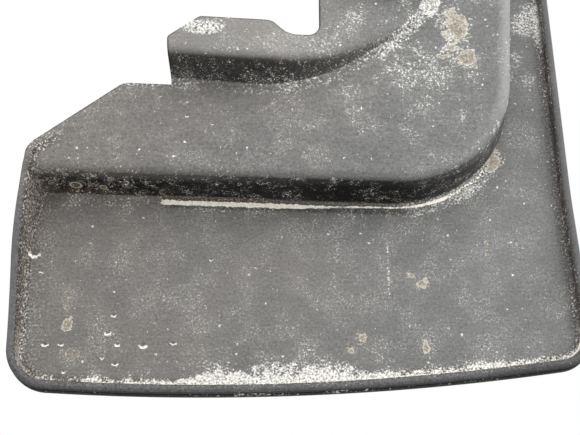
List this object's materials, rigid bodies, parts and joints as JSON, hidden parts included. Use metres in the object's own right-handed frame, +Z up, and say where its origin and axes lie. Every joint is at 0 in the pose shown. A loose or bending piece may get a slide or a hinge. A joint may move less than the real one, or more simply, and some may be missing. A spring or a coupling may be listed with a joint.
{
  "type": "mud flap",
  "caption": "Stepped moulded rubber mud flap with a lipped lower panel, two raised shelves, a notch, and screws through a steel strip at the top.",
  "frame": {"origin": "on the middle strip screw's axis, at the back face of its mounting pad, where it meets the wheel arch", "axes": "+Z up with the flap hanging, +X to the outer side of the vehicle, -Y towards the wheel, +Y away from it"},
  "size_m": [0.2905, 0.0627, 0.3163],
  "materials": {
    "moulded_rubber": "satin, dusty",
    "strip_steel": "black coated, worn edges",
    "zinc_steel": "zinc plated, dull",
    "spring_steel": "dark spring steel",
    "screw_steel": "zinc plated, faint rust"
  },
  "bodies": {
    "fixed_flap": {"upper_moulding": "moulded_rubber", "retaining_strip": "strip_steel", "sleeve_1": "zinc_steel", "plain_washer_1": "zinc_steel", "spring_washer_1": "spring_steel", "screw_1": "screw_steel", "sleeve_2": "zinc_steel", "plain_washer_2": "zinc_steel", "spring_washer_2": "spring_steel", "screw_2": "screw_steel", "sleeve_3": "zinc_steel", "plain_washer_3": "zinc_steel", "spring_washer_3": "spring_steel", "screw_3": "screw_steel", "sleeve_4": "zinc_steel", "plain_washer_4": "zinc_steel", "spring_washer_4": "spring_steel", "screw_4": "screw_steel"},
    "free_flap": {"lower_flap": "moulded_rubber"}
  },
  "joints": [
    {"name": "flap_flex", "type": "hinge", "parent": "fixed_flap", "child": "free_flap", "pos_m": [-0.029, 0.038, -0.182], "axis": [1, 0, 0], "range_deg": [-30, 45], "stiffness_Nm_per_rad": 2}
  ]
}
